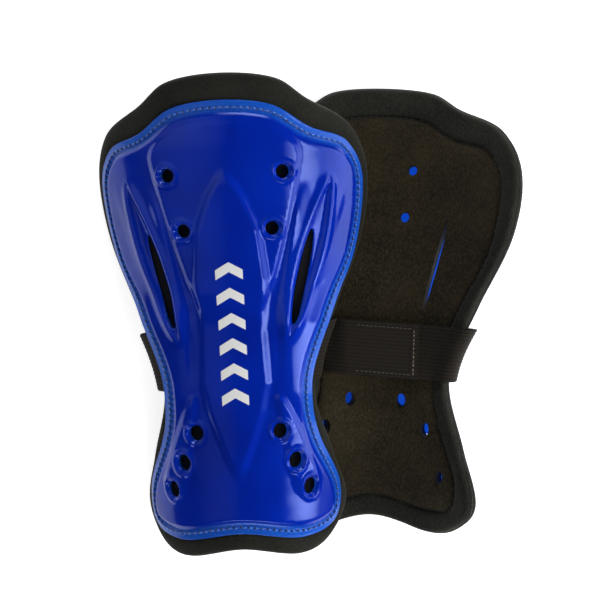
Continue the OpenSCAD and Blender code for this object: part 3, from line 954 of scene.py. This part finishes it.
def build_tab_stitches(guard):
    z = LONG_Z - STRAP_T / 2 - 0.1
    parts = []

    def row(start, end):
        (x0, w0), (x1, w1) = start, end
        t = np.linspace(0, 1, 60)
        x, w = x0 + (x1 - x0) * t, w0 + (w1 - w0) * t
        line = np.stack([x, STRAP_Y + w + STRAP_SLOPE * x, 0 * t + z], 1)
        parts.append(thread_stitches(line, np.tile([0.0, 0, -1], (60, 1)), 2.3, 1.75, 0.24, 0.1))

    side_w, hem_x = PATCH_W / 2 - 0.5, TAB_END_X + 2.7
    for w in (-side_w, side_w):
        row((TAB_END_X + 4, w), (TAB_X - 2, w))
    row((hem_x, -PATCH_W / 2), (hem_x, PATCH_W / 2))
    points, faces, owner = joined(parts)
    # the hem is the third row, and the only one in the lighter thread
    owner = np.array(owner) != 2
    name = guard + "_tab_stitches"
    mesh = make_mesh(name, placed(guard, points), faces, 80)
    mesh.polygons.foreach_set("material_index", owner.astype(np.int32))
    add_object(name, mesh, [GREY_THREAD, STRAP_THREAD], guard + "_tab",
               [guard + "_tab_stitching"])


for guard in GUARDS:
    build_pad(guard)
    build_shell(guard)
    build_stitching(guard)
    build_mark(guard)
    build_straps(guard)
    build_patches(guard)
    build_tab_stitches(guard)

# ---- Floor, light and camera ----
floor_mesh = make_mesh("floor", [(-3, -3, -0.0003), (3, -3, -0.0003), (3, 3, -0.0003), (-3, 3, -0.0003)],
                       np.array([[0, 1, 2, 3]]))
floor = bpy.data.objects.new("floor", floor_mesh)
bpy.context.scene.collection.objects.link(floor)
pale = Paint("floor_pale", Roughness=0.7, Specular_IOR_Level=0.2)
pale.bsdf.inputs["Base Color"].default_value = (0.86, 0.86, 0.86, 1)
pale.bsdf.inputs["Emission Color"].default_value = (1, 1, 1, 1)
pale.bsdf.inputs["Emission Strength"].default_value = 0.7
floor_mesh.materials.append(pale.material)


def panel(name, place, size, watts, mirrored=True):
    """A soft light panel that looks at the object. One that isn't mirrored only lights what is matt."""
    light = bpy.data.lights.new(name, "AREA")
    light.shape, light.size, light.size_y = "RECTANGLE", size[0], size[1]
    light.energy = watts
    light.use_nodes = True
    tree = light.node_tree

    def combined(operation, a, b):
        made = tree.nodes.new("ShaderNodeMath")
        made.operation = operation
        for index, value in enumerate((a, b)):
            if isinstance(value, bpy.types.NodeSocket):
                tree.links.new(value, made.inputs[index])
            else:
                made.inputs[index].default_value = value
        return made.outputs[0]

    # brightest in the middle and dark at its rim, so that its reflection has soft edges
    on_panel = tree.nodes.new("ShaderNodeSeparateXYZ")
    tree.links.new(tree.nodes.new("ShaderNodeNewGeometry").outputs["Parametric"], on_panel.inputs[0])
    u, v = (combined("MULTIPLY", axis, combined("SUBTRACT", 1.0, axis)) for axis in on_panel.outputs[:2])
    glow = combined("MULTIPLY", combined("MULTIPLY", u, v), PANEL_MEAN)
    tree.links.new(glow, tree.nodes["Emission"].inputs["Strength"])
    obj = bpy.data.objects.new(name, light)
    bpy.context.scene.collection.objects.link(obj)
    obj.location = place
    obj.rotation_mode = "QUATERNION"
    obj.rotation_quaternion = (LIT_POINT - Vector(place)).to_track_quat("-Z", "Y")
    obj.visible_glossy = mirrored


# the mean of u(1 - u) v(1 - v) over a panel is one over this, so it keeps the panel's power
PANEL_MEAN = 36.0
LIT_POINT = Vector((0, 0, 0.02))
panel("left_panel", (-0.68, 0.2, 0.64), (1.1, 1.3), 1.4)
panel("right_strip", (0.74, -0.24, 0.84), (0.2, 0.9), 2.4)
panel("right_fill", (0.95, 0.0, 0.35), (0.7, 1.2), 3.8)
panel("right_matt", (0.9, -0.2, 0.4), (0.7, 1.2), 9, False)
panel("far_panel", (0.05, 1.0, 0.75), (1.0, 0.35), 5)
panel("near_panel", (-0.05, -1.1, 0.7), (1.2, 0.35), 4)

world = bpy.data.worlds.new("studio")
bpy.context.scene.world = world
world.use_nodes = True
world.node_tree.nodes["Background"].inputs[0].default_value = (1, 1, 1, 1)
world.node_tree.nodes["Background"].inputs[1].default_value = 0.07
bpy.context.scene.view_settings.view_transform = "Standard"

CAMERA_AT, CAMERA_TURN, FOCAL_PX = (-75.4, 36.9, 518.0), (-3.17, -8.38, -0.49), 922.0
camera_data = bpy.data.cameras.new("camera")
camera_data.sensor_width = 36
camera_data.lens = FOCAL_PX / 600 * 36
camera_data.clip_start = 0.01
camera = bpy.data.objects.new("camera", camera_data)
bpy.context.scene.collection.objects.link(camera)
camera.location = Vector(CAMERA_AT) * MM
tilt_x, tilt_y, spin = (math.radians(v) for v in CAMERA_TURN)
camera.rotation_mode = "QUATERNION"
camera.rotation_quaternion = (Euler((0, 0, spin)).to_quaternion() @ Euler((tilt_x, 0, 0)).to_quaternion()
                              @ Euler((0, tilt_y, 0)).to_quaternion())
bpy.context.scene.camera = camera
